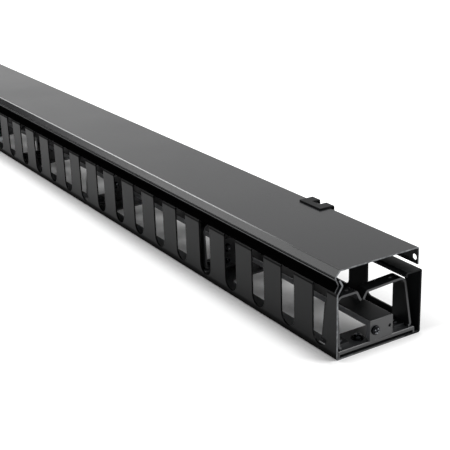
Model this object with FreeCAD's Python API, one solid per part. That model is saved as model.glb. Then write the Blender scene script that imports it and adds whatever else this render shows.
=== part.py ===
import FreeCAD, Part
import math
import os

from FreeCAD import Vector

# Single-sided vertical cable manager for a rack, lying on its back.
# x runs from the finger side to the window side, y runs along the manager from its near end,
# z runs up from the back to the hinged front cover. All sizes are millimetres.

# Rack grid and overall size
rack_unit = 44.45
units_tall = 27
length = rack_unit * units_tall
width = 88.9
sheet = 1.5
bend = 1.2
seat_gap = 0.3
back_flange = 17.0

# Window wall, with a row of large windows and a stiffening lip at its top
window_wall_height = 58.0
lip_width = 17.4
lip_return = 4.2
window_count = 16
window_margin = 19.05
post_width = 25.4
window_bottom = 10.2
window_head = 10.0
window_top = window_wall_height - window_head
window_corner = 5.5

# Finger wall, a comb of one finger to each rack unit, with snap tips bent to a V
finger_wall_drop = 1.5
finger_wall_height = window_wall_height - finger_wall_drop
slot_width = 19.05
slot_floor = 5.5
tip_apex_x = 5.7
tip_apex_rise = 7.6
tip_apex_z = finger_wall_height + tip_apex_rise
tip_end_x = 2.8
tip_end_rise = 5.5
tip_end_z = tip_apex_z + tip_end_rise

# Rack holes through the back flanges of both walls
rack_hole_radius = 3.5
rack_hole_x = 9.0
rack_hole_inset = 1.5 * rack_unit

# Stations, where a strap ties the back flanges and a bridge plate carries a ring and a rail end
end_span = 203.0
station_starts = [end_span, 447.0, 665.0, 831.0, length - end_span]
plate_depth = 26.0
strap_reach = 19.0
strap_corner = 9.0
strap_corner_reach = 7.0
plate_left = 2.0
plate_right_inset = 6.5
plate_right = width - plate_right_inset
plate_top = 7.2
plate_skirt_gap = 2.7
ear_width = 19.0

# Back rail, an inverted channel raised above the pan so that straps can pass under it
rail_shift = 2.05
rail_span = 24.0
rail_left = width / 2 + rail_shift - rail_span / 2
rail_top = 25.5
rail_flange = 5.8
rail_leg_flange = 5.0
rail_bend = 1.0
rail_set_back = 10.0
rail_landing = 21.0
ear_drop = 4.0
ear_top = rail_top - ear_drop

# Cable ring in two halves of strip, whose arms dip to a V where cables are pressed in
ring_strip = 2.0
ring_left_foot = 4.4
ring_left = 8.4
ring_right_inset = 9.2
ring_right = width - ring_right_inset
ring_drop = 8.6
ring_top = window_wall_height - ring_drop
ring_sag = 2.0
ring_corner = 6.0
ring_foot = 14.0
ring_foot_width = 12.0
ring_foot_bend = 2.4
dip_middle = 33.3
dip_half = 5.3
dip_left = dip_middle - dip_half
dip_right = dip_middle + dip_half
dip_depth = 8.0
dip_bottom = ring_top - dip_depth
dip_gap = 1.3
leg_near_foot = 2.0
leg_near_top = 9.5
leg_far = 24.0
arm_far = 21.5
leg_taper_drop = 5.4
leg_taper_top = ring_top - leg_taper_drop
tie_slot_length = 5.0
tie_slot_width = 2.4

# Cover, hinged on the finger tips
cover_sheet = 1.2
cover_rise = 20.7
cover_top = finger_wall_height + cover_rise
cover_inset = 2.0
cover_right_inset = 2.1
cover_right = width - cover_right_inset
cover_flange = 15.8
cover_flange_bottom = cover_top - cover_flange
cover_crease_x = 5.0
cover_chamfer = 5.8
cover_chamfer_z = cover_top - cover_chamfer
cover_apex_x = 3.5
cover_lip_x = 0.0
cover_lip_drop = 5.4
cover_lip_z = tip_apex_z - cover_lip_drop
cover_hole_radius = 2.6
cover_hole_y = 6.4
cover_hole_drop = 10.2
cover_hole_z = cover_top - cover_hole_drop

# Cover catch, a forked clip pushed over the cover's edge
catch_sheet = 1.5
catch_start = 119.7
catch_prong = 10.5
catch_reach = 4.7
catch_outer_x = cover_right + catch_reach
catch_leaf = 16.5
catch_left = catch_outer_x - catch_leaf
catch_notch = 9.5
catch_notch_x = catch_outer_x - catch_notch
catch_foot = 7.5
catch_foot_x = catch_outer_x - catch_foot

# Fasteners
screw_head_radius = 4.1
screw_head_height = 2.6
screw_shank_radius = 2.0
washer_radius = 5.4
washer_height = 0.9
shank_clearance = 0.1
plate_screw_spread = 28.5
plate_screw_columns = (width / 2 - plate_screw_spread / 2, width / 2 + plate_screw_spread / 2)
plate_screw_y = 10.8
tab_screw_inset = 5.4
tab_screw_x = rail_left + tab_screw_inset
tab_screw_drop = 9.5
tab_screw_z = rail_top - tab_screw_drop
tab_hole_inset = 3.1
tab_hole_x = rail_left + rail_span - tab_hole_inset
tab_hole_radius = 1.5
rivet_head_radius = 2.8
rivet_head_height = 1.3
rivet_radius = 1.6
rivet_tail = 1.2

# Length of one window, from what the margins and posts leave
window_length = (length - 2 * window_margin - (window_count - 1) * post_width) / window_count


def box(x0, x1, y0, y1, z0, z1):
    return Part.makeBox(x1 - x0, y1 - y0, z1 - z0, Vector(x0, y0, z0))


def bent_strip(points, radii, thickness, y0, y1):
    """Sheet folded along a line of (x, z) points, with a mid-line radius at each inner point."""
    flat = [Vector(x, 0, z) for x, z in points]
    runs = [(b - a).normalize() for a, b in zip(flat, flat[1:])]
    sides = [Vector(-run.z, 0, run.x) for run in runs]

    def edge_line(offset):
        """Corner pieces of the outline on one side: straight ends and the arcs between them."""
        stops = [flat[0] + sides[0] * offset]
        arcs = []
        for i, radius in enumerate(radii):
            before, after = runs[i], runs[i + 1]
            turn = math.acos(max(-1.0, min(1.0, before.dot(after))))
            reach = radius * math.tan(turn / 2)
            start = flat[i + 1] - before * reach
            end = flat[i + 1] + after * reach
            hand = 1 if before.z * after.x - before.x * after.z < 0 else -1
            centre = start + sides[i] * (radius * hand)
            outward = (flat[i + 1] - centre).normalize()
            start_point = start + sides[i] * offset
            end_point = end + sides[i + 1] * offset
            mid_point = centre + outward * (radius - hand * offset)
            arcs.append((start_point, mid_point, end_point))
            stops.append(None)
        stops.append(flat[-1] + sides[-1] * offset)
        edges = []
        here = stops[0]
        for start_point, mid_point, end_point in arcs:
            edges.append(Part.LineSegment(here, start_point).toShape())
            edges.append(Part.Arc(start_point, mid_point, end_point).toShape())
            here = end_point
        edges.append(Part.LineSegment(here, stops[-1]).toShape())
        return edges, stops[0], stops[-1]

    left, left_start, left_end = edge_line(thickness / 2)
    right, right_start, right_end = edge_line(-thickness / 2)
    caps = [
        Part.LineSegment(left_end, right_end).toShape(),
        Part.LineSegment(left_start, right_start).toShape(),
    ]
    wire = Part.Wire(Part.__sortEdges__(left + right + caps))
    solid = Part.Face(wire).extrude(Vector(0, y1 - y0, 0))
    solid.translate(Vector(0, y0, 0))
    return solid


def rounded_rectangle(u0, u1, v0, v1, radius, place):
    """Face with round corners; place turns a (u, v) pair into a point."""
    corners = [(u0, v0), (u1, v0), (u1, v1), (u0, v1)]
    steps = [(1, 0), (0, 1), (-1, 0), (0, -1)]
    edges = []
    slant = radius * (1 - math.sqrt(0.5))
    for i, (u, v) in enumerate(corners):
        along = steps[i]
        back = steps[i - 1]
        following = corners[(i + 1) % 4]
        arc_start = (u - back[0] * radius, v - back[1] * radius)
        arc_mid = (u + (along[0] - back[0]) * slant, v + (along[1] - back[1]) * slant)
        arc_end = (u + along[0] * radius, v + along[1] * radius)
        line_end = (following[0] - along[0] * radius, following[1] - along[1] * radius)
        edges.append(Part.Arc(place(*arc_start), place(*arc_mid), place(*arc_end)).toShape())
        edges.append(Part.LineSegment(place(*arc_end), place(*line_end)).toShape())
    return Part.Face(Part.Wire(edges))


def finger_slot(y):
    """Cutter for one cable slot: straight sides, full-round bottom, open at the finger tips."""
    half = slot_width / 2
    low = slot_floor + half
    high = tip_end_z + sheet * 2
    points = [Vector(-sheet, y - half, high), Vector(-sheet, y - half, low)]
    bottom = Vector(-sheet, y, slot_floor)
    right = [Vector(-sheet, y + half, low), Vector(-sheet, y + half, high)]
    wire = Part.Wire([
        Part.LineSegment(points[0], points[1]).toShape(),
        Part.Arc(points[1], bottom, right[0]).toShape(),
        Part.LineSegment(right[0], right[1]).toShape(),
        Part.LineSegment(right[1], points[0]).toShape(),
    ])
    return Part.Face(wire).extrude(Vector(tip_apex_x + sheet * 4, 0, 0))


def rack_hole_cutters(x):
    """Drills for the holes, one near each end, that bolt a back flange to the rack."""
    return [
        Part.makeCylinder(rack_hole_radius, sheet * 3, Vector(x, y, -sheet))
        for y in (rack_hole_inset, length - rack_hole_inset)
    ]


def finger_wall():
    """Comb wall on the left. Each finger ends in a tip that holds the cover's hinge fold."""
    line = [
        (back_flange, sheet / 2),
        (sheet / 2, sheet / 2),
        (sheet / 2, finger_wall_height),
        (tip_apex_x, tip_apex_z),
        (tip_end_x, tip_end_z),
    ]
    wall = bent_strip(line, [bend, bend, bend], sheet, 0, length)
    cutters = [finger_slot((n + 0.5) * rack_unit) for n in range(units_tall)]
    cutters += rack_hole_cutters(rack_hole_x)
    return wall.cut(Part.makeCompound(cutters))


def window_spans():
    """Near and far end of each window."""
    starts = [window_margin + n * (window_length + post_width) for n in range(window_count)]
    return [(start, start + window_length) for start in starts]


def window_wall():
    """Wall on the right, with windows towards the rack and a folded lip along its top."""
    outer = width - sheet / 2
    top = window_wall_height - sheet / 2
    inner = width - lip_width + sheet / 2
    line = [
        (width - back_flange, sheet / 2),
        (outer, sheet / 2),
        (outer, top),
        (inner, top),
        (inner, top - lip_return + sheet / 2),
    ]
    wall = bent_strip(line, [bend, bend, bend], sheet, 0, length)
    windows = rack_hole_cutters(width - rack_hole_x)
    for start, end in window_spans():
        face = rounded_rectangle(
            start, end, window_bottom, window_top, window_corner,
            lambda u, v: Vector(width - sheet * 2, u, v))
        windows.append(face.extrude(Vector(sheet * 3, 0, 0)))
    return wall.cut(Part.makeCompound(windows))


def plate_spans():
    """Near and far edge of each bridge plate, ends included."""
    spans = [(0.0, plate_depth)]
    spans += [(start, start + plate_depth) for start in station_starts]
    spans.append((length - plate_depth, length))
    return spans


def strap_spans():
    """Near and far edge of each tie strap. A middle one also runs out before its plate."""
    first, *middle, last = plate_spans()
    return [first] + [(near - strap_reach, far) for near, far in middle] + [last]


def station_mark(index):
    """Edge of the plate that the ring stands by, and +1 or -1 for the way the ring faces."""
    near, far = plate_spans()[index]
    if far == length:
        return far, -1
    return near, 1


def plate_screw_places():
    """Screws that hold the bridge plates down, one on each side of the rail."""
    places = []
    for index in range(len(plate_spans())):
        y, sign = station_mark(index)
        places += [(x, y + sign * plate_screw_y) for x in plate_screw_columns]
    return places


def screw_cutters(places):
    """Drills through strap and plate for the screws in these places."""
    radius = screw_shank_radius + shank_clearance
    return [Part.makeCylinder(radius, plate_top * 2, Vector(x, y, -sheet)) for x, y in places]


def rail_ends():
    """Near and far outer face of each back rail, from one station to the next."""
    near_faces = [0.0] + [start + rail_landing for start in station_starts]
    far_faces = [start - rail_set_back for start in station_starts] + [length]
    return list(zip(near_faces, far_faces))


def ear_places(near, far):
    """Near face of each ear on a stretch: one just inside every rail tab that stands there."""
    ears = []
    for rail_near, rail_far in rail_ends():
        if near <= rail_near <= far:
            ears.append(rail_near + sheet)
        if near <= rail_far <= far:
            ears.append(rail_far - 2 * sheet)
    return ears


def add_ears(carrier, ears, foot):
    """Upright ears on a plate or strap, each drilled for the screw through its rail tab."""
    ear_left = rail_left + (rail_span - ear_width) / 2
    for y in ears:
        ear = box(ear_left, ear_left + ear_width, y, y + sheet, foot, ear_top)
        drill = Part.makeCylinder(screw_shank_radius + shank_clearance, sheet * 3,
                                  Vector(tab_screw_x, y - sheet, tab_screw_z), Vector(0, 1, 0))
        carrier = carrier.fuse(ear.cut(drill))
    return carrier


def back_opening(near, far):
    """Cutter for the open back beside a strap, between the flanges, with round corners."""
    face = rounded_rectangle(back_flange, width - back_flange, near, far, strap_corner,
                             lambda u, v: Vector(u, v, -sheet))
    return face.extrude(Vector(0, 0, sheet * 3))


def tie_strap(near, far, ears):
    """Strap between the back flanges, which widens into them at its corners."""
    outer_near = max(near - strap_corner_reach, 0.0)
    outer_far = min(far + strap_corner_reach, length)
    strap = box(back_flange, width - back_flange, outer_near, outer_far, 0, sheet)
    opening = strap_corner * 3
    strap = strap.cut(back_opening(near - opening, near)).cut(back_opening(far, far + opening))
    return add_ears(strap.cut(Part.makeCompound(screw_cutters(plate_screw_places()))), ears, 0)


def rivet_columns():
    """Distance across of the two rivets through a ring's feet, left and right."""
    reach = ring_foot / 2 + ring_strip / 2
    return ring_left_foot + reach, ring_right - reach


def rivet_places():
    """Rivets through the feet of every ring."""
    y_offset = (leg_near_foot + leg_far) / 2
    places = []
    for index in range(len(plate_spans())):
        y, sign = station_mark(index)
        places += [(x, y + sign * y_offset) for x in rivet_columns()]
    return places


def bridge_plate(near, far, ears):
    """Inverted shallow tray that stands on the back flanges, with an ear for each rail end."""
    skirt_bottom = sheet + plate_skirt_gap
    tray = box(plate_left, plate_right, near, far, sheet, plate_top)
    rim = [edge for edge in tray.Edges if edge.BoundBox.ZMin > plate_top - 0.01]
    tray = tray.makeFillet(bend, rim)
    hollow = box(plate_left + sheet, plate_right - sheet, near + sheet, far - sheet,
                 0, plate_top - sheet)
    slit = box(plate_left + sheet, plate_right - sheet, near - 1, far + 1, 0, skirt_bottom)
    plate = tray.cut(hollow).cut(slit)
    cutters = screw_cutters(plate_screw_places())
    for x, y in rivet_places():
        cutters.append(Part.makeCylinder(rivet_radius + shank_clearance, plate_top * 2,
                                         Vector(x, y, -sheet)))
    plate = plate.cut(Part.makeCompound(cutters))
    return add_ears(plate, ears, plate_top - sheet).removeSplitter()


def back_rail(near, far, far_foot):
    """Raised rail: top and side flanges, and ends turned down that stand on a plate or a strap."""
    right = rail_left + rail_span
    outside = box(rail_left, right, near, far, far_foot, rail_top)
    top_edges = [
        edge for edge in outside.Edges
        if edge.BoundBox.ZMin > rail_top - 0.01
    ]
    outside = outside.makeFillet(rail_bend, top_edges)
    inside = box(rail_left + sheet, right - sheet, near + sheet, far - sheet,
                 far_foot - 1, rail_top - sheet)
    under = box(rail_left - 1, right + 1, near - 1, far - rail_leg_flange, far_foot - 1, plate_top)
    side_windows = box(rail_left - 1, right + 1, near + rail_leg_flange, far - rail_leg_flange,
                       far_foot - 1, rail_top - rail_flange)
    rail = outside.cut(inside).cut(under).cut(side_windows)
    holes = []
    for y in (near - sheet, far - 2 * sheet):
        holes.append(Part.makeCylinder(screw_shank_radius + shank_clearance, sheet * 3,
                                       Vector(tab_screw_x, y, tab_screw_z), Vector(0, 1, 0)))
        holes.append(Part.makeCylinder(tab_hole_radius, sheet * 3,
                                       Vector(tab_hole_x, y, tab_screw_z), Vector(0, 1, 0)))
    return rail.cut(Part.makeCompound(holes)).removeSplitter()


def ring_silhouette():
    """Side view of the ring: each leg narrows upwards to the width of the arms."""
    side = [
        (leg_near_foot, plate_top - 1),
        (leg_near_foot, plate_top + ring_strip),
        (leg_near_top, leg_taper_top),
        (leg_near_top, ring_top + ring_strip * 2),
        (arm_far, ring_top + ring_strip * 2),
        (arm_far, leg_taper_top + ring_strip),
        (leg_far, leg_taper_top - ring_strip * 2),
        (leg_far, plate_top - 1),
    ]
    outline = [Vector(0, y, z) for y, z in side]
    return Part.Face(Part.makePolygon(outline + outline[:1])).extrude(Vector(width, 0, 0))


def tie_slot(x, y):
    """Cutter for a strap slot with round ends through an arm, long way across the manager."""
    half = tie_slot_width / 2
    face = rounded_rectangle(
        x - tie_slot_length / 2, x + tie_slot_length / 2, y - half, y + half, half * 0.96,
        lambda u, v: Vector(u, v, dip_bottom))
    return face.extrude(Vector(0, 0, ring_top))


def ring_half(right, y, sign):
    """One half ring: a riveted foot tongue, a tapered leg, an arm and its share of the V."""
    foot_z = plate_top + ring_strip / 2
    rivet_x = rivet_columns()[1 if right else 0]
    rivet_y = (leg_near_foot + leg_far) / 2
    if right:
        foot_span = (ring_right - ring_foot - 1, ring_right - ring_foot_bend)
        line = [
            (ring_right - ring_foot, foot_z),
            (ring_right, foot_z),
            (ring_right, ring_top),
            (dip_right, ring_top - ring_sag),
            (dip_middle + dip_gap, dip_bottom),
        ]
        slot_x = ring_right - ring_corner - tie_slot_length
    else:
        foot_span = (ring_left_foot + ring_foot_bend, ring_left_foot + ring_foot + 1)
        line = [
            (ring_left_foot + ring_foot, foot_z),
            (ring_left_foot, foot_z),
            (ring_left, ring_top),
            (dip_left, ring_top),
            (dip_middle - dip_gap, dip_bottom),
        ]
        slot_x = dip_left - tie_slot_length
    radii = [ring_foot_bend, ring_corner, ring_strip]
    half = bent_strip(line, radii, ring_strip, 0, leg_far).common(ring_silhouette())
    for y0, y1 in ((0, rivet_y - ring_foot_width / 2), (rivet_y + ring_foot_width / 2, leg_far + 1)):
        half = half.cut(box(*foot_span, y0, y1, plate_top - 1, plate_top + ring_strip * 2))
    drill = Part.makeCylinder(rivet_radius + shank_clearance, plate_top * 2, Vector(rivet_x, rivet_y, 0))
    half = half.cut(drill).cut(tie_slot(slot_x, (leg_near_top + arm_far) / 2))
    if sign < 0:
        half = half.mirror(Vector(0, 0, 0), Vector(0, 1, 0))
    half.translate(Vector(0, y, 0))
    return half


def cover():
    """Front cover: flat top, right flange, chamfered left edge and the fold that sits in the tips."""
    half = cover_sheet / 2
    top = cover_top - half
    line = [
        (cover_right - half, cover_flange_bottom),
        (cover_right - half, top),
        (cover_crease_x, top),
        (cover_lip_x, cover_chamfer_z),
        (cover_apex_x, tip_apex_z),
        (cover_lip_x, cover_lip_z),
    ]
    radii = [bend, bend, bend, bend]
    panel = bent_strip(line, radii, cover_sheet, cover_inset, length - cover_inset)
    holes = [
        Part.makeCylinder(cover_hole_radius, sheet * 6, Vector(cover_right - sheet * 3, y, cover_hole_z),
                          Vector(1, 0, 0))
        for y in (cover_hole_y, length - cover_hole_y)
    ]
    return panel.cut(Part.makeCompound(holes))


def cover_catch(start):
    """Forked clip: a leaf fixed on the cover, two prongs down its edge and feet above the lip."""
    half = catch_sheet / 2
    leaf = cover_top + half
    foot = window_wall_height + seat_gap + half
    outer = catch_outer_x - half
    line = [(catch_left, leaf), (outer, leaf), (outer, foot), (catch_foot_x, foot)]
    span = catch_prong * 3
    clip = bent_strip(line, [bend, bend], catch_sheet, start, start + span)
    notch = box(catch_notch_x, catch_outer_x + 1, start + catch_prong, start + 2 * catch_prong,
                foot - catch_sheet, leaf + catch_sheet)
    return clip.cut(notch)


def pan_head_screw(shank_length, washer):
    """Screw along -z with its bearing face at z = 0: domed head, optional washer, plain shank."""
    lift = washer_height if washer else 0.0
    profile = [
        Vector(0, 0, lift + screw_head_height),
        Vector(screw_head_radius * 0.55, 0, lift + screw_head_height),
        Vector(screw_head_radius, 0, lift + screw_head_height * 0.35),
        Vector(screw_head_radius, 0, lift),
    ]
    if washer:
        profile += [Vector(washer_radius, 0, lift), Vector(washer_radius, 0, 0)]
    profile += [
        Vector(screw_shank_radius, 0, 0),
        Vector(screw_shank_radius, 0, -shank_length),
        Vector(0, 0, -shank_length),
        Vector(0, 0, lift + screw_head_height),
    ]
    face = Part.Face(Part.makePolygon(profile))
    return face.revolve(Vector(0, 0, 0), Vector(0, 0, 1), 360)


def plate_screws():
    """Screws with washers that hold the bridge plates down on the pan."""
    screws = []
    for x, y in plate_screw_places():
        screw = pan_head_screw(plate_top - seat_gap, True)
        screw.translate(Vector(x, y, plate_top))
        screws.append(screw)
    return Part.makeCompound(screws)


def rail_screws():
    """Screws through the rail's end tabs into the ears behind them."""
    screws = []
    for near, far in rail_ends():
        for y, turn in ((near, 90), (far, -90)):
            screw = pan_head_screw(2 * sheet, False)
            screw.rotate(Vector(0, 0, 0), Vector(1, 0, 0), turn)
            screw.translate(Vector(tab_screw_x, y, tab_screw_z))
            screws.append(screw)
    return Part.makeCompound(screws)


def ring_rivets():
    """Domed rivets through the ring's feet and the bridge plates."""
    top = plate_top + ring_strip
    bottom = plate_top - sheet
    rivets = []
    for x, y in rivet_places():
        profile = [
            Vector(0, 0, top + rivet_head_height),
            Vector(rivet_head_radius * 0.6, 0, top + rivet_head_height * 0.8),
            Vector(rivet_head_radius, 0, top),
            Vector(rivet_radius, 0, top),
            Vector(rivet_radius, 0, bottom),
            Vector(rivet_head_radius * 0.8, 0, bottom),
            Vector(rivet_head_radius * 0.8, 0, bottom - rivet_tail),
            Vector(0, 0, bottom - rivet_tail),
            Vector(0, 0, top + rivet_head_height),
        ]
        rivet = Part.Face(Part.makePolygon(profile)).revolve(Vector(0, 0, 0), Vector(0, 0, 1), 360)
        rivet.translate(Vector(x, y, 0))
        rivets.append(rivet)
    return Part.makeCompound(rivets)


shapes = {
    "finger_wall": finger_wall(),
    "window_wall": window_wall(),
    "front_cover": cover(),
    "cover_catch_near": cover_catch(catch_start),
    "cover_catch_far": cover_catch(length - catch_start - 3 * catch_prong),
    "plate_screws": plate_screws(),
    "rail_screws": rail_screws(),
    "ring_rivets": ring_rivets(),
}
spans = zip(strap_spans(), plate_spans())
for number, ((strap_near, strap_far), (near, far)) in enumerate(spans, start=1):
    strap_ears = ear_places(strap_near, near) if strap_near < near else []
    shapes["tie_strap_%d" % number] = tie_strap(strap_near, strap_far, strap_ears)
    shapes["bridge_plate_%d" % number] = bridge_plate(near, far, ear_places(near, far))
    y, sign = station_mark(number - 1)
    shapes["ring_left_%d" % number] = ring_half(False, y, sign)
    shapes["ring_right_%d" % number] = ring_half(True, y, sign)
for number, (near, far) in enumerate(rail_ends(), start=1):
    far_foot = plate_top if far == length else sheet
    shapes["back_rail_%d" % number] = back_rail(near, far, far_foot)

# The origin is the middle of the whole footprint, on the back face that lies on the rack
reach = Part.makeCompound(list(shapes.values())).optimalBoundingBox(False, False)
origin = Vector((reach.XMin + reach.XMax) / 2, (reach.YMin + reach.YMax) / 2, 0)
os.makedirs("parts", exist_ok=True)
for name, shape in shapes.items():
    shape.translate(origin * -1)
    shape.exportStep("parts/" + name + ".step")
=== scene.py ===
import math

import bmesh
import bpy
from mathutils import Matrix, Vector


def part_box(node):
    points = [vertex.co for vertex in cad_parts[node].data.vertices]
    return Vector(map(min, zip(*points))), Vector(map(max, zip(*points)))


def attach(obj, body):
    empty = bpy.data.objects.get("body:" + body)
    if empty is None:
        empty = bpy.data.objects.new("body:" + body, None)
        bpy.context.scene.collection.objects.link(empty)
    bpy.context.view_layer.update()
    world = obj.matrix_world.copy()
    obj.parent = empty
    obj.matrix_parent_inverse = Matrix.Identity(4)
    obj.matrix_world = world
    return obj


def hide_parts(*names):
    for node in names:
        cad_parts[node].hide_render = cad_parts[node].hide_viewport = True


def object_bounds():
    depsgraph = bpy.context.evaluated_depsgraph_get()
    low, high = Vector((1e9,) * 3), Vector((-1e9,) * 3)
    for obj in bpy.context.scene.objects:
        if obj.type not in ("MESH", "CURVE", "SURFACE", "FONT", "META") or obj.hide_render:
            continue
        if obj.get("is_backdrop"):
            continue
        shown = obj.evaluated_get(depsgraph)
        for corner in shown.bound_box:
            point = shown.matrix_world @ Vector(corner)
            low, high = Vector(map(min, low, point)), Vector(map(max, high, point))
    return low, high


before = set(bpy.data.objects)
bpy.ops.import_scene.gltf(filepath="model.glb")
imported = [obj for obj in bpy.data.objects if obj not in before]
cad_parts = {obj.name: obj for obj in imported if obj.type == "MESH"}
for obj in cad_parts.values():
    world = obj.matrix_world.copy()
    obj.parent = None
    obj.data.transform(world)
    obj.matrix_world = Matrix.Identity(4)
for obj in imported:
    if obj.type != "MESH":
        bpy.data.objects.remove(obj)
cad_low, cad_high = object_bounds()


# Finger wall
# One long sheet of 1.5 mm steel with a slot punched for each rack unit. Its back edge is folded in
# as a flange and the finger tips are folded twice to the V that grips the cover. After folding it
# is powder coated, so every cut edge carries a slightly rounded skin that catches the light.
MM = 0.001
skin_radius = 0.22 * MM
merge_reach = 0.001 * MM
flat_angle = math.radians(0.3)
bend_facet_angle = math.radians(28)
cut_edge_angle = math.radians(40)
end_face_depth = 0.4 * MM
flange_face_height = 3 * MM
polyester_ior = 1.5
# A face looks one way when this share of its normal points there
facing = 0.7
# Orange peel has humps about 1 mm across, and handling leaves faint patches a hand wide. The grit
# in the powder is finer than the 0.35 mm it is drawn at, so that it shows.
peel_hump = 1.1 * MM
peel_depth = 0.03 * MM
peel_strength = 0.22
handled_patch = 90 * MM
patch_limits = (0.3, 0.7)
patch_tints = (0.86, 1.14)
drawn_grit = 0.35 * MM
grit_tint = 1.35
# The painted highlight on a sheared edge breaks up in dashes a few millimetres long
film_dash = 4 * MM
film_limits = (0.35, 0.65)


def linear(hex_colour):
    """Turn an sRGB hex colour into the linear values a shader takes."""
    channels = [int(hex_colour[i:i + 2], 16) / 255 for i in (1, 3, 5)]
    return [c / 12.92 if c <= 0.04045 else ((c + 0.055) / 1.055) ** 2.4 for c in channels] + [1.0]


def tinted(colour, strength):
    """Make a linear colour darker or paler."""
    return [min(1.0, c * strength) for c in colour[:3]] + [1.0]


def new_material(name):
    """Start a material, returned with its node tree and its shader."""
    material = bpy.data.materials.new(name)
    material.use_nodes = True
    return material, material.node_tree, material.node_tree.nodes["Principled BSDF"]


def add(tree, kind, links=(), values=(), **fields):
    """Add a node with its fields and input values, its inputs linked from other nodes' outputs."""
    node = tree.nodes.new(kind)
    for key, value in fields.items():
        setattr(node, key, value)
    for key, value in dict(values).items():
        node.inputs[key].default_value = value
    for key, (source, output) in dict(links).items():
        tree.links.new(source.outputs[output], node.inputs[key])
    return node


def powder_coat(name, colour, roughness, gloss, shares=(), axis="Z"):
    """Satin powder coat: baked polyester with a fine orange peel and faint patches from handling.

    Where light or shade is painted along the part, shares lists pairs of a distance in mm from the
    low end of the axis and the share of colour there. Where the share is low the colour is painted
    darker and the coat is matt too.
    """
    material, tree, shader = new_material(name)
    place = add(tree, "ShaderNodeTexCoord")
    peel = add(tree, "ShaderNodeTexNoise", {"Vector": (place, "Object")},
               {"Scale": 1 / peel_hump, "Detail": 2.0})
    patches = add(tree, "ShaderNodeTexNoise", {"Vector": (place, "Object")},
                  {"Scale": 1 / handled_patch, "Detail": 3.0})
    grit = add(tree, "ShaderNodeTexNoise", {"Vector": (place, "Object")},
               {"Scale": 1 / drawn_grit, "Detail": 1.0})
    base = linear(colour)
    tint = add(tree, "ShaderNodeValToRGB", {"Fac": (patches, "Fac")})
    for stop, position, strength in zip(tint.color_ramp.elements, patch_limits, patch_tints):
        stop.position = position
        stop.color = tinted(base, strength)
    shade = add(tree, "ShaderNodeMix", {"Factor": (grit, "Fac"), "A": (tint, "Color")},
                {"B": tinted(base, grit_tint)}, data_type="RGBA")
    polish = add(tree, "ShaderNodeMapRange", {"Value": (patches, "Fac")},
                 {"From Min": patch_limits[0], "From Max": patch_limits[1],
                  "To Min": roughness[0], "To Max": roughness[1]})
    # Painted light and shade along one axis: the colour is multiplied by the share, and the coat
    # turns matt where the share is low
    if shares:
        number = "XYZ".index(axis)
        start, end = cad_low[number], cad_high[number]
        axes = add(tree, "ShaderNodeSeparateXYZ", {"Vector": (place, "Object")})
        distance = add(tree, "ShaderNodeMapRange", {"Value": (axes, axis)},
                       {"From Min": start, "From Max": end})
        share = add(tree, "ShaderNodeValToRGB", {"Fac": (distance, "Result")})
        stops = share.color_ramp.elements
        while len(stops) < len(shares):
            stops.new(0.5)
        for stop, (reach, left) in zip(stops, shares):
            stop.position = reach * MM / (end - start)
            stop.color = (left, left, left, 1)
        shade = add(tree, "ShaderNodeMix", {"A": (shade, "Result"), "B": (share, "Color")},
                    {"Factor": 1.0}, data_type="RGBA", blend_type="MULTIPLY")
        painted_darkness = add(tree, "ShaderNodeMath", {1: (share, "Color")}, {0: 1.0}, operation="SUBTRACT")
        polish = add(tree, "ShaderNodeMath", {0: (polish, "Result"), 1: (painted_darkness, "Value")},
                     operation="MAXIMUM")
    bump = add(tree, "ShaderNodeBump", {"Height": (peel, "Fac")},
               {"Strength": peel_strength, "Distance": peel_depth})
    tree.links.new(shade.outputs["Result"], shader.inputs["Base Color"])
    tree.links.new(polish.outputs[0], shader.inputs["Roughness"])
    tree.links.new(bump.outputs["Normal"], shader.inputs["Normal"])
    shader.inputs["IOR"].default_value = polyester_ior
    shader.inputs["Specular IOR Level"].default_value = gloss
    return material


def painted_edge_highlight(name, dark, bright, roughness):
    """Sheared edge drawn as pale steel under a thin film, in dashes: a painted highlight."""
    material, tree, shader = new_material(name)
    place = add(tree, "ShaderNodeTexCoord")
    film = add(tree, "ShaderNodeTexNoise", {"Vector": (place, "Object")},
               {"Scale": 1 / film_dash, "Detail": 3.0})
    bare = add(tree, "ShaderNodeValToRGB", {"Fac": (film, "Fac")})
    for stop, position, colour in zip(bare.color_ramp.elements, film_limits, (dark, bright)):
        stop.position = position
        stop.color = linear(colour)
    tree.links.new(bare.outputs["Color"], shader.inputs["Base Color"])
    shader.inputs["Metallic"].default_value = 1.0
    shader.inputs["Roughness"].default_value = roughness
    return material


# Painted shade: the wall is drawn darkest at its foot, where it sees the shadowed floor under the
# part, and on a line just under the cover's lip, where the lip shades the finger tips
lip_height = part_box("front_cover")[0].z / MM
wall_black = powder_coat(
    "Satin black powder coat on the finger wall", "#0f1011", roughness=(0.34, 0.42), gloss=0.11,
    shares=[(0, 0.0), (4.0, 0.02), (7.5, 0.65), (20, 0.8), (lip_height - 5, 1.0),
            (lip_height - 3.1, 1.0), (lip_height - 2.8, 0.08), (lip_height - 1.5, 0.08),
            (lip_height - 1.2, 1.0)])
inner_black = powder_coat(
    "Glossier black powder coat inside", "#18191b", roughness=(0.36, 0.44), gloss=0.8)
# Painted highlight on the sheared end faces of the long sheets
sheared_edge_highlight = painted_edge_highlight(
    "Painted highlight on sheared steel edges", "#4c4d4f", "#747678", roughness=0.4)


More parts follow.
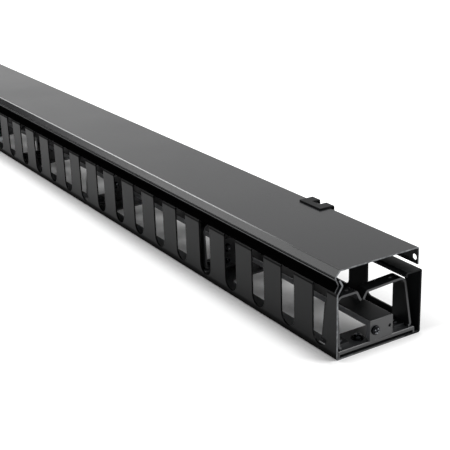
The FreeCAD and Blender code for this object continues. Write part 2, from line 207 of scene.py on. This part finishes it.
def clean_sheet(node):
    """A copy of a folded sheet as one closed skin, with its cut edges rounded."""
    b = bmesh.new()
    b.from_mesh(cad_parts[node].data)
    bmesh.ops.remove_doubles(b, verts=b.verts, dist=merge_reach)
    bmesh.ops.dissolve_limit(b, angle_limit=flat_angle, verts=b.verts, edges=b.edges)
    cut_edges = [e for e in b.edges
                 if len(e.link_faces) == 2 and e.calc_face_angle() > cut_edge_angle]
    bmesh.ops.bevel(b, geom=cut_edges, offset=skin_radius, offset_type="OFFSET", segments=2,
                    profile=0.5, affect="EDGES", clamp_overlap=True, material=-1)
    mesh = bpy.data.meshes.new(node + "_skin")
    b.to_mesh(mesh)
    b.free()
    return mesh


def coated_sheet(node, body, material, finishes=()):
    """Dress one folded sheet.

    Each further finish is a material and a test of a face's middle and normal.
    """
    mesh = clean_sheet(node)
    mesh.materials.clear()
    mesh.materials.append(material)
    for finish, _ in finishes:
        mesh.materials.append(finish)
    for polygon in mesh.polygons:
        polygon.use_smooth = True
        polygon.material_index = 0
        for index, (_, takes) in enumerate(finishes, start=1):
            if takes(polygon.center, polygon.normal):
                polygon.material_index = index
    mesh.set_sharp_from_angle(angle=bend_facet_angle)
    piece = bpy.data.objects.new(node + "_coated", mesh)
    bpy.context.scene.collection.objects.link(piece)
    flat_panels = piece.modifiers.new("Flat panels", "WEIGHTED_NORMAL")
    flat_panels.keep_sharp = True
    flat_panels.weight = 100
    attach(piece, body)
    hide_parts(node)


def at_end_of(node):
    """Test for the sheared faces at both ends of a long sheet."""
    low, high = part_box(node)
    return lambda place, normal: not low.y + end_face_depth <= place.y <= high.y - end_face_depth


def inside_of_flange(place, normal):
    """Face of the folded back flange that looks up into the channel."""
    return place.z < flange_face_height and normal.z > facing


coated_sheet("finger_wall", "frame", wall_black,
             finishes=[(inner_black, inside_of_flange), (sheared_edge_highlight, at_end_of("finger_wall"))])


# Window wall
# The same steel on the rack side. Large windows are punched in a row, the back edge is folded in
# and the top edge is folded to a stiff lip with a short return. Its coat is duller.
dull_black = powder_coat(
    "Duller black powder coat on the window wall", "#101112", roughness=(0.42, 0.5), gloss=0.08)
coated_sheet("window_wall", "frame", dull_black, finishes=[(inner_black, inside_of_flange)])


# Tie straps and bridge plates
# Punched straps of the same steel join the flanges in the back. Over each stands a pressed plate
# with turned-down edges, and upright ears take the rail screws. The coat is glossier here.
straps = sorted(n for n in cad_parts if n.startswith("tie_strap_"))
plates = [strap.replace("tie_strap", "bridge_plate") for strap in straps]
for node in straps + plates:
    coated_sheet(node, "frame", inner_black)


# Back rails
# Inverted channels of folded steel between the stations. Their ends are folded down to tabs, which
# are screwed to the ears. Their left sides, towards the slots, are drawn pale: painted light.
rails = sorted(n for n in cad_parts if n.startswith("back_rail_"))
satin_black = powder_coat(
    "Satin black powder coat", "#141516", roughness=(0.34, 0.42), gloss=0.15)
# Painted light on the left sides that face the slots
rail_side_painted_light = powder_coat(
    "Black powder coat with painted light on the rails' sides", "#58595c", roughness=(0.3, 0.38), gloss=1.0)


def faces_the_fingers(place, normal):
    """Left side of the channel."""
    return normal.x < -facing


def faces_the_cover(place, normal):
    """Top of the channel."""
    return normal.z > facing


for rail in rails:
    coated_sheet(rail, "frame", inner_black,
                 finishes=[(rail_side_painted_light, faces_the_fingers), (satin_black, faces_the_cover)])


# Cable rings
# Each ring is two strips of 2 mm steel, folded to a foot, a tapered leg and an arm. The arms dip to
# a V that lets a cable in sideways but keeps the bundle from falling out.
ring_halves = sorted(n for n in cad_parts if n.startswith(("ring_left_", "ring_right_")))
facing_squarely = 0.9
# Painted highlight: the rings' cut edges across the channel are drawn paler and glossier
ring_edge_highlight = powder_coat(
    "Black powder coat thin over the rings' cut edges", "#2b2c2e", roughness=(0.3, 0.38), gloss=0.5)


def on_cut_edge(place, normal):
    """Edges of a strip that runs across the channel."""
    return abs(normal.y) > facing_squarely


for half in ring_halves:
    coated_sheet(half, "frame", satin_black, finishes=[(ring_edge_highlight, on_cut_edge)])


# Front cover
# A flat panel of 1.2 mm steel. The right edge is folded down as a flange. The left edge is
# chamfered and folded to the V that snaps over the finger tips and turns in them. The outside of
# that V is painted in shade, black and without gloss, and the bend above the chamfer carries a
# painted highlight.
fold_width = 4.6 * MM
fold_foot, fold_top = 0.35 * MM, 12.9 * MM
bend_depth = 3 * MM
# Limits of the normals there: how far they lean to the left, and how nearly they point up
fold_lean, bend_lean = -0.5, -0.05
bend_rise = (0.75, 0.998)
cover_coat = powder_coat(
    "Satin black powder coat on the cover", "#141517", roughness=(0.2, 0.26), gloss=0.22)
# Painted shade, black but for one thin painted highlight high in the fold
fold_painted_shade = powder_coat(
    "Painted shade in the fold, with a painted highlight", "#c8c9ca", roughness=(0.85, 0.95), gloss=0.0,
    shares=[(lip_height, 0.002), (lip_height + 10.4, 0.002), (lip_height + 10.8, 0.26),
            (lip_height + 11.7, 0.26), (lip_height + 12.1, 0.002)])
# Painted highlight, faint near the low end and brightest a third of the way along
bend_highlight_coat = powder_coat(
    "Painted highlight on the cover's bend", "#c4c5c6", roughness=(0.3, 0.36), gloss=0.3,
    shares=[(0, 0.1), (60, 0.12), (220, 0.8), (420, 1.0), (700, 0.7), (1000, 0.5)], axis="Y")
cover_low, cover_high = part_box("front_cover")


def in_the_fold(place, normal):
    """Outer faces of the V, short of its two rounded edges."""
    return (place.x < cover_low.x + fold_width and normal.x < fold_lean
            and cover_low.z + fold_foot < place.z < cover_low.z + fold_top)


def on_top_bend(place, normal):
    """Narrow outer faces between the flat panel and its chamfer."""
    return (place.x < 0 and place.z > cover_high.z - bend_depth and normal.x < bend_lean
            and bend_rise[0] < normal.z < bend_rise[1])


coated_sheet("front_cover", "cover", cover_coat,
             finishes=[(fold_painted_shade, in_the_fold), (bend_highlight_coat, on_top_bend),
                       (sheared_edge_highlight, at_end_of("front_cover"))])


# Cover catches
# Forked clips of 1.5 mm spring steel, pressed on the cover's right edge near each end. They hold
# the closed cover level.
for catch in ("cover_catch_near", "cover_catch_far"):
    coated_sheet(catch, "cover", dull_black)


# Plate and rail screws
# Cross-recessed pan head machine screws of steel, black zinc plated. Those in the plates have a
# washer, those in the rail tabs go through into the ears behind.
head_radius = 4.1 * MM
head_height = 2.6 * MM
# Shares of the head's radius and height, from its foot to the rim of the recess
head_profile = ((1.0, 0.0), (1.0, 0.3), (0.965, 0.5), (0.88, 0.7), (0.76, 0.86), (0.64, 0.95))
shank_radius = 2.0 * MM
plate_shank, tab_shank = 6.9 * MM, 3.0 * MM
washer_radius = 5.4 * MM
washer_height = 0.9 * MM
washer_chamfer = 0.15 * MM
recess_reach = 2.3 * MM
recess_half_width = 0.62 * MM
recess_depth = 1.5 * MM
recess_taper = 0.5
above_bearing, below_rim = 0.2 * MM, 0.05 * MM
screw_facets = 40
fastener_edge_angle = math.radians(35)
# Plating spots are about a millimetre across
plating_spot = 0.9 * MM
spot_limits = (0.35, 0.7)
spot_tint = 0.6
spot_polish, spot_dullness = 0.8, 1.3
plated_metallic = 0.9


def zinc_black(name, colour, roughness):
    """Black passivated zinc: a thin semi-gloss film over plated steel, with dull spots."""
    material, tree, shader = new_material(name)
    place = add(tree, "ShaderNodeTexCoord")
    spots = add(tree, "ShaderNodeTexNoise", {"Vector": (place, "Object")},
                {"Scale": 1 / plating_spot, "Detail": 3.0})
    base = linear(colour)
    shade = add(tree, "ShaderNodeValToRGB", {"Fac": (spots, "Fac")})
    for stop, position, strength in zip(shade.color_ramp.elements, spot_limits, (spot_tint, 1.0)):
        stop.position = position
        stop.color = tinted(base, strength)
    dull = add(tree, "ShaderNodeMapRange", {"Value": (spots, "Fac")},
               {"To Min": roughness * spot_polish, "To Max": roughness * spot_dullness})
    tree.links.new(shade.outputs["Color"], shader.inputs["Base Color"])
    tree.links.new(dull.outputs["Result"], shader.inputs["Roughness"])
    shader.inputs["Metallic"].default_value = plated_metallic
    return material


screw_finish = zinc_black("Black zinc plated screw steel", "#101114", roughness=0.12)
# Painted glint: the faces in the cross recess are drawn as pale steel
recess_glint_finish = zinc_black("Pale steel in the screw recess, a painted glint", "#77797d", roughness=0.3)


def loop_of(b, radius, height):
    """Circle of vertices, returned as its edges so that loops can be bridged."""
    ring = bmesh.ops.create_circle(b, cap_ends=False, segments=screw_facets, radius=radius,
                                   matrix=Matrix.Translation((0, 0, height)))["verts"]
    return [e for e in b.edges if e.verts[0] in ring and e.verts[1] in ring]


def cross_of(b, scale, height):
    """Outline of the cross recess at one height, returned as its edges."""
    reach, half = recess_reach * scale, recess_half_width * scale
    arm = [(reach, half), (half, half), (half, reach)]
    outline = []
    for quarter in range(4):
        turn = Matrix.Rotation(math.radians(90 * quarter), 2)
        outline += [turn @ Vector(point) for point in arm]
    verts = [b.verts.new((p.x, p.y, height)) for p in outline]
    return [b.edges.new((verts[i], verts[(i + 1) % len(verts)])) for i in range(len(verts))]


def pan_head(shank_length, washer):
    """Closed mesh of one screw along -z, with its bearing face at z = 0."""
    lift = washer_height if washer else 0.0
    top = lift + head_height
    b = bmesh.new()
    loops = [loop_of(b, shank_radius, -shank_length), loop_of(b, shank_radius, 0.0)]
    if washer:
        inner_rim = washer_radius - washer_chamfer
        loops += [loop_of(b, inner_rim, 0.0), loop_of(b, washer_radius, washer_chamfer),
                  loop_of(b, washer_radius, lift - washer_chamfer), loop_of(b, inner_rim, lift)]
    loops += [loop_of(b, head_radius * r, lift + head_height * h) for r, h in head_profile]
    recess_top = cross_of(b, 1.0, top)
    recess_floor = cross_of(b, recess_taper, top - recess_depth)
    for lower, upper in zip(loops, loops[1:]):
        bmesh.ops.bridge_loops(b, edges=lower + upper)
    bmesh.ops.bridge_loops(b, edges=loops[-1] + recess_top)
    bmesh.ops.bridge_loops(b, edges=recess_top + recess_floor)
    bmesh.ops.holes_fill(b, edges=[e for e in b.edges if e.is_boundary], sides=0)
    bmesh.ops.recalc_face_normals(b, faces=b.faces)
    # Faces in the recess take the second finish, the painted glint
    for face in b.faces:
        middle = face.calc_center_median()
        if middle.xy.length < recess_reach and above_bearing < middle.z < top - below_rim:
            face.material_index = 1
    return b


def object_of(b, name):
    """Object in the scene from a finished bmesh."""
    mesh = bpy.data.meshes.new(name)
    b.to_mesh(mesh)
    b.free()
    whole = bpy.data.objects.new(name, mesh)
    bpy.context.scene.collection.objects.link(whole)
    return whole


def fastener_set(name, node, finishes, parts):
    """One piece from copies of small closed meshes, each put in its place."""
    b = bmesh.new()
    for fastener, place in parts:
        copy = bpy.data.meshes.new("copy")
        fastener.to_mesh(copy)
        copy.transform(place)
        b.from_mesh(copy)
        bpy.data.meshes.remove(copy)
    piece = object_of(b, name)
    for finish in finishes:
        piece.data.materials.append(finish)
    for polygon in piece.data.polygons:
        polygon.use_smooth = True
    piece.data.set_sharp_from_angle(angle=fastener_edge_angle)
    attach(piece, "frame")
    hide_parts(node)


plate_top = 7.2 * MM
plate_screw_spread = 28.5 * MM
plate_screw_from_edge = 10.8 * MM
wall_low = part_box("finger_wall")[0]
middle_x = (wall_low.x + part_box("window_wall")[1].x) / 2
plate_screw = pan_head(plate_shank, washer=True)
plate_parts = []
for index, plate in enumerate(plates):
    low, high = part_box(plate)
    last = index == len(plates) - 1
    y = high.y - plate_screw_from_edge if last else low.y + plate_screw_from_edge
    for side in (-1, 1):
        # Each screw has stopped at an angle of its own
        turn = Matrix.Rotation(math.radians(20 + 47 * index + 31 * side), 4, "Z")
        x = middle_x + side * plate_screw_spread / 2
        plate_parts.append((plate_screw, Matrix.Translation((x, y, plate_top)) @ turn))
fastener_set("plate_pan_head_screws", "plate_screws",
             (screw_finish, recess_glint_finish), plate_parts)
plate_screw.free()

tab_screw_in, tab_screw_down = 5.4 * MM, 9.5 * MM
tab_screw = pan_head(tab_shank, washer=False)
tab_parts = []
for index, rail in enumerate(rails):
    low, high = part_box(rail)
    own_turn = Matrix.Rotation(math.radians(12 + 40 * index), 4, "Z")
    for y, tilt in ((low.y, 90), (high.y, -90)):
        place = Matrix.Translation((low.x + tab_screw_in, y, high.z - tab_screw_down))
        turn = Matrix.Rotation(math.radians(tilt), 4, "X") @ own_turn
        tab_parts.append((tab_screw, place @ turn))
fastener_set("rail_pan_head_screws", "rail_screws",
             (screw_finish, recess_glint_finish), tab_parts)
tab_screw.free()


# Ring rivets
# Solid rivets of mild steel through each ring's foot and the plate under it, set from below and
# plated black before assembly.
rivet_finish = zinc_black("Black plated rivet steel", "#2a2b2e", roughness=0.28)
# Radius and height in mm, from the top of the head to the foot of the set end
rivet_profile = [(0, 10.5), (1.1, 10.42), (2.0, 10.1), (2.6, 9.6), (2.8, 9.2), (1.6, 9.2),
                 (1.6, 5.7), (2.24, 5.7), (2.2, 4.7), (1.9, 4.5), (0, 4.5)]
rivet_facets = 28
left_rivet_in, right_rivet_in = 12.4 * MM, 71.7 * MM
rivet = bmesh.new()
verts = [rivet.verts.new((r * MM, 0, z * MM)) for r, z in rivet_profile]
line = [rivet.edges.new(pair) for pair in zip(verts, verts[1:])]
bmesh.ops.spin(rivet, geom=verts + line, cent=(0, 0, 0), axis=(0, 0, 1), angle=math.tau,
               steps=rivet_facets, use_merge=True)
bmesh.ops.remove_doubles(rivet, verts=rivet.verts, dist=merge_reach)
bmesh.ops.recalc_face_normals(rivet, faces=rivet.faces)
rivet_parts = []
for half in ring_halves:
    low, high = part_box(half)
    x = wall_low.x + (left_rivet_in if "left" in half else right_rivet_in)
    rivet_parts.append((rivet, Matrix.Translation((x, (low.y + high.y) / 2, 0))))
fastener_set("ring_foot_rivets", "ring_rivets", (rivet_finish,), rivet_parts)
rivet.free()


# Studio
# A pale paper floor under a white surround. Three softboxes light the object, one overhead, one off
# the window wall and one behind the finger wall. A black flag stands behind it, and the camera is
# at the photo's place.
camera_place = Vector((-0.50640, -1.18198, 0.39810))
camera_right = Vector((0.84345, -0.53631, -0.03118))
camera_up = Vector((0.21433, 0.28271, 0.93495))

camera_data = bpy.data.cameras.new("Camera")
camera = bpy.data.objects.new("Camera", camera_data)
bpy.context.scene.collection.objects.link(camera)
camera_data.lens = 83.04
camera_data.sensor_width = 36.0
camera_data.clip_end = 20
back = camera_right.cross(camera_up).normalized()
turn = Matrix((camera_right, back.cross(camera_right).normalized(), back)).transposed()
camera.matrix_world = Matrix.Translation(camera_place) @ turn.to_4x4()
bpy.context.scene.camera = camera

floor_half = 6.0
b = bmesh.new()
bmesh.ops.create_grid(b, x_segments=1, y_segments=1, size=floor_half)
floor = object_of(b, "Floor")
floor.location.z = cad_low.z
floor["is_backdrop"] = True


def rays_of(tree, *kinds):
    """Output that is 1 for the named kinds of ray and 0 for all others."""
    path = add(tree, "ShaderNodeLightPath")
    found = (path, kinds[0])
    for kind in kinds[1:]:
        either = add(tree, "ShaderNodeMath", {0: found, 1: (path, kind)}, operation="MAXIMUM")
        found = (either, "Value")
    return found


# Matt paper. Around the object it glows for camera and reflection rays, little close to it and more
# farther out: painted light that keeps the shadow close to the object. A second glow farther out
# hides the floor's far edge.
right_slope = 0.25
end_inset = 8 * MM
glow_reach = (-2 * MM, 26 * MM)
glow_strength = (0.03, 0.55)
far_glow_reach = (0.15, 1.8)
far_glow_strength = 0.5
paper_floor, tree, paper = new_material("White paper floor")
paper.inputs["Base Color"].default_value = linear("#f2f2f2")
paper.inputs["Roughness"].default_value = 0.9
paper.inputs["Specular IOR Level"].default_value = 0.1
place = add(tree, "ShaderNodeTexCoord")
axes = add(tree, "ShaderNodeSeparateXYZ", {"Vector": (place, "Object")})
along = add(tree, "ShaderNodeMath", {0: (axes, "Y")}, operation="ABSOLUTE")
# How far the paper is outside the left side, the right side and the ends. On the right it counts
# a quarter, so that the painted glow rises more slowly and the shadow there reaches farther.
outside = [add(tree, "ShaderNodeMath", {0: reach}, {1: slope, 2: -abs(slope) * half_size},
               operation="MULTIPLY_ADD")
           for reach, slope, half_size in (((axes, "X"), -1.0, -cad_low.x),
                                           ((axes, "X"), right_slope, cad_high.x),
                                           ((along, "Value"), 1.0, cad_high.y - end_inset))]
gap = outside[0]
for side in outside[1:]:
    gap = add(tree, "ShaderNodeMath", {0: (gap, "Value"), 1: (side, "Value")},
              operation="MAXIMUM")
rise = add(tree, "ShaderNodeMapRange", {"Value": (gap, "Value")},
           {"From Min": glow_reach[0], "From Max": glow_reach[1],
            "To Min": glow_strength[0], "To Max": glow_strength[1]},
           interpolation_type="SMOOTHSTEP")
far_rise = add(tree, "ShaderNodeMapRange", {"Value": (gap, "Value")},
               {"From Min": far_glow_reach[0], "From Max": far_glow_reach[1],
                "To Max": far_glow_strength},
               interpolation_type="SMOOTHSTEP")
strength = add(tree, "ShaderNodeMath", {0: (rise, "Result"), 1: (far_rise, "Result")},
               operation="ADD")
glow = add(tree, "ShaderNodeEmission", {"Strength": (strength, "Value")},
           {"Color": (1, 1, 1, 1)})
glowing_paper = add(tree, "ShaderNodeAddShader", {0: (paper, "BSDF"), 1: (glow, "Emission")})
seen = add(tree, "ShaderNodeMixShader",
           {"Fac": rays_of(tree, "Is Camera Ray", "Is Glossy Ray"),
            1: (paper, "BSDF"), 2: (glowing_paper, "Shader")})
tree.links.new(seen.outputs["Shader"], tree.nodes["Material Output"].inputs["Surface"])
floor.data.materials.append(paper_floor)

world = bpy.data.worlds.new("White surround")
bpy.context.scene.world = world
world.use_nodes = True
tree = world.node_tree
soft = tree.nodes["Background"]
soft.inputs["Color"].default_value = (1, 1, 1, 1)
soft.inputs["Strength"].default_value = 0.25
white = add(tree, "ShaderNodeBackground", values={"Color": (1, 1, 1, 1), "Strength": 1.0})
seen = add(tree, "ShaderNodeMixShader",
           {"Fac": rays_of(tree, "Is Camera Ray", "Is Glossy Ray", "Is Transmission Ray"),
            1: (soft, "Background"), 2: (white, "Background")})
tree.links.new(seen.outputs["Shader"], tree.nodes["World Output"].inputs["Surface"])


def softbox(name, place, target, size, power):
    """A large square lamp that looks at a point."""
    data = bpy.data.lights.new(name, "AREA")
    data.shape = "SQUARE"
    data.size = size
    data.energy = power
    lamp = bpy.data.objects.new(name, data)
    bpy.context.scene.collection.objects.link(lamp)
    lamp.location = place
    lamp.rotation_euler = (Vector(target) - Vector(place)).to_track_quat("-Z", "Y").to_euler()


softbox("Overhead softbox", place=(0.5, 0.4, 2.6), target=(0, -0.2, 0), size=2.4, power=30)
softbox("Key softbox", place=(1.6, -1.4, 1.9), target=(0, -0.3, 0), size=1.5, power=45)
softbox("Back softbox", place=(-1.15, 1.35, 1.5), target=(0, -0.4, 0.07), size=1.2, power=18)

# The flag of black velvet, which gives back almost no light, stands low behind the left side and
# keeps the chamfer dark towards the far end. Only reflections show it.
flag_half_width, flag_half_height = 1.9, 0.52
flag_middle = (-2.05, 2.5, 0.54)
b = bmesh.new()
bmesh.ops.create_grid(b, x_segments=1, y_segments=1, size=1)
bmesh.ops.scale(b, verts=b.verts, vec=(flag_half_width, flag_half_height, 1))
bmesh.ops.rotate(b, verts=b.verts, cent=(0, 0, 0),
                 matrix=Matrix.Rotation(math.radians(90), 3, "X"))
bmesh.ops.translate(b, verts=b.verts, vec=flag_middle)
flag = object_of(b, "Flag")
flag.visible_camera = flag.visible_diffuse = flag.visible_shadow = False
velvet, tree, cloth = new_material("Black velvet")
cloth.inputs["Base Color"].default_value = linear("#050505")
cloth.inputs["Specular IOR Level"].default_value = 0.0
flag.data.materials.append(velvet)
flag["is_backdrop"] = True

bpy.context.scene.view_settings.view_transform = "Standard"

low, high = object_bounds()
